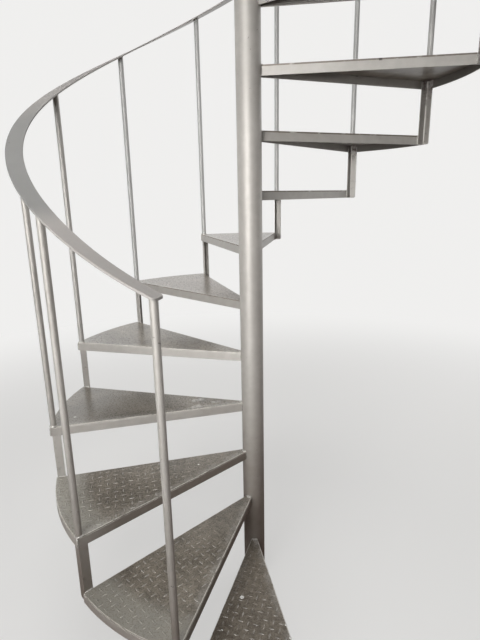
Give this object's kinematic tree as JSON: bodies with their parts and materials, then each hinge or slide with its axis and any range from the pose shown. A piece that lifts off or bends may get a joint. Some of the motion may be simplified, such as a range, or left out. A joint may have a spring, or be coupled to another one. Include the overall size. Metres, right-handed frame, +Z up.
{
  "type": "spiral staircase",
  "caption": "Spiral stair: checker-plate wedge trays on a round pole, tied at their outer corners by angle irons, with round balusters and a helical flat handrail.",
  "frame": {"origin": "centre of the foot plate's underside, on the floor, on the pole's axis", "axes": "+Z up along the pole; the flight starts towards -Y and climbs clockwise seen from above, over -X, +Y and +X"},
  "size_m": [1.5889, 1.5742, 3.6],
  "materials": {
    "bar_paint": "satin silver-grey paint on steel tube and bar",
    "tread_paint": "satin silver-grey paint on checker plate, worn on the lugs"
  },
  "bodies": {
    "root": {"foot_plate": "bar_paint", "pole": "bar_paint", "pole_cap": "bar_paint", "tread_01": "tread_paint", "tread_02": "tread_paint", "tread_03": "tread_paint", "tread_04": "tread_paint", "tread_05": "tread_paint", "tread_06": "tread_paint", "tread_07": "tread_paint", "tread_08": "tread_paint", "tread_09": "tread_paint", "tread_10": "tread_paint", "tread_11": "tread_paint", "tread_12": "tread_paint", "angle_01": "bar_paint", "angle_02": "bar_paint", "angle_03": "bar_paint", "angle_04": "bar_paint", "angle_05": "bar_paint", "angle_06": "bar_paint", "angle_07": "bar_paint", "angle_08": "bar_paint", "angle_09": "bar_paint", "angle_10": "bar_paint", "angle_11": "bar_paint", "angle_12": "bar_paint", "baluster_02": "bar_paint", "baluster_03": "bar_paint", "baluster_04": "bar_paint", "baluster_05": "bar_paint", "baluster_06": "bar_paint", "baluster_07": "bar_paint", "baluster_08": "bar_paint", "baluster_09": "bar_paint", "baluster_10": "bar_paint", "baluster_11": "bar_paint", "baluster_12": "bar_paint", "handrail_1": "bar_paint", "handrail_2": "bar_paint", "handrail_3": "bar_paint", "handrail_4": "bar_paint", "handrail_5": "bar_paint"}
  },
  "joints": []
}
